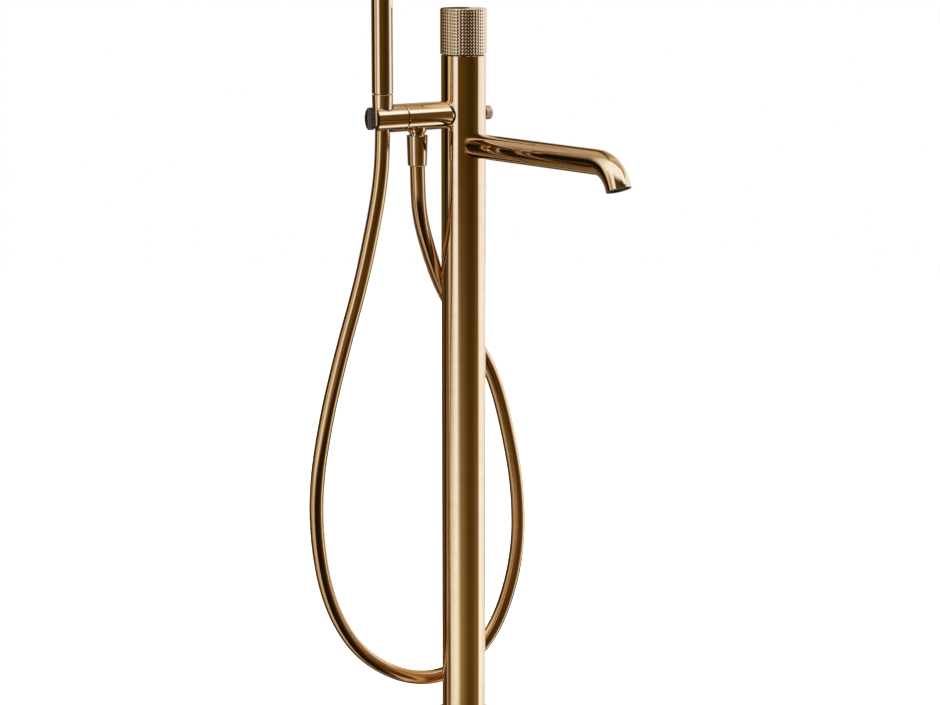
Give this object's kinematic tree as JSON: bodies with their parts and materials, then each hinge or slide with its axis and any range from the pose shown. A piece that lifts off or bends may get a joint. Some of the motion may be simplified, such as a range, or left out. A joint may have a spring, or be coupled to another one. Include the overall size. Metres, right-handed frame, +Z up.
{
  "type": "floor standing bath shower mixer",
  "caption": "Floor-standing bath mixer: round column, knurled top control, turned-down spout, side arm with forked holder, stick hand shower and smooth looping hose.",
  "frame": {"origin": "on the floor, at the column's axis and the centre of the floor bolts", "axes": "+Z up along the column; -Y to the viewer of the picture, +X to its right; the spout points between +X and -Y, the side arm between -X and -Y"},
  "size_m": [0.3759, 0.349, 1.008],
  "materials": {
    "copper": "polished copper",
    "knurled_copper": "polished knurled copper",
    "hose_skin": "satin metallic copper",
    "dark_plastic": "matte",
    "rubber": "matte",
    "raw_brass": "machined",
    "steel": "brushed",
    "light_plastic": "matte"
  },
  "bodies": {
    "stand": {"floor_flange": "copper", "column_tube": "copper", "arm_tube": "copper", "outlet_neck": "copper", "outlet_nut": "copper", "spout_tube": "copper", "spout_collar": "copper", "diverter_gland": "copper", "hose": "hose_skin", "shadow_ring": "dark_plastic", "seam_washer": "dark_plastic", "aerator": "dark_plastic", "cartridge_seal": "rubber", "outlet_washer": "rubber", "diverter_o_ring": "rubber", "inlet_block": "raw_brass", "hot_inlet": "raw_brass", "cold_inlet": "raw_brass", "valve_body": "raw_brass", "cartridge_nut": "raw_brass", "manifold": "raw_brass", "arm_core": "raw_brass", "arm_end_plug": "raw_brass", "spout_nipple": "raw_brass", "spout_ring": "raw_brass", "floor_plate": "steel", "column_spigot": "steel", "foot_screw_left": "steel", "foot_screw_right": "steel", "hot_riser": "steel", "cold_riser": "steel", "mixed_pipe": "steel", "aerator_ring": "steel", "cartridge": "light_plastic", "check_valve": "light_plastic", "holder_bush": "light_plastic"},
    "knob": {"knob": "knurled_copper", "knob_insert": "raw_brass", "knob_screw": "steel", "cartridge_spindle": "raw_brass"},
    "diverter": {"diverter_button": "copper", "diverter_spindle": "raw_brass", "diverter_piston": "raw_brass"},
    "holder": {"holder_body": "copper", "fork_lining": "dark_plastic", "holder_bolt": "raw_brass"},
    "handset": {"handset_body": "copper", "handset_liner": "light_plastic", "handset_connector": "raw_brass", "handset_washer": "rubber", "handset_nut": "copper", "spray_plate": "dark_plastic"}
  },
  "joints": [
    {"name": "knob_turn", "type": "hinge", "parent": "stand", "child": "knob", "pos_m": [0, 0, 0.845], "axis": [0, 0, 1], "range_deg": [0, 130]},
    {"name": "diverter_pull", "type": "slide", "parent": "stand", "child": "diverter", "axis": [0.809, 0.5878, 0], "range_m": [0, 0.006]},
    {"name": "holder_swivel", "type": "hinge", "parent": "stand", "child": "holder", "pos_m": [0, 0, 0.7732], "axis": [-0.809, -0.5878, 0], "range_deg": [-20, 20], "deforming": ["hose"]},
    {"name": "handset_lift", "type": "slide", "parent": "holder", "child": "handset", "axis": [0, 0, 1], "range_m": [0, 0.02], "deforming": ["hose"]}
  ]
}
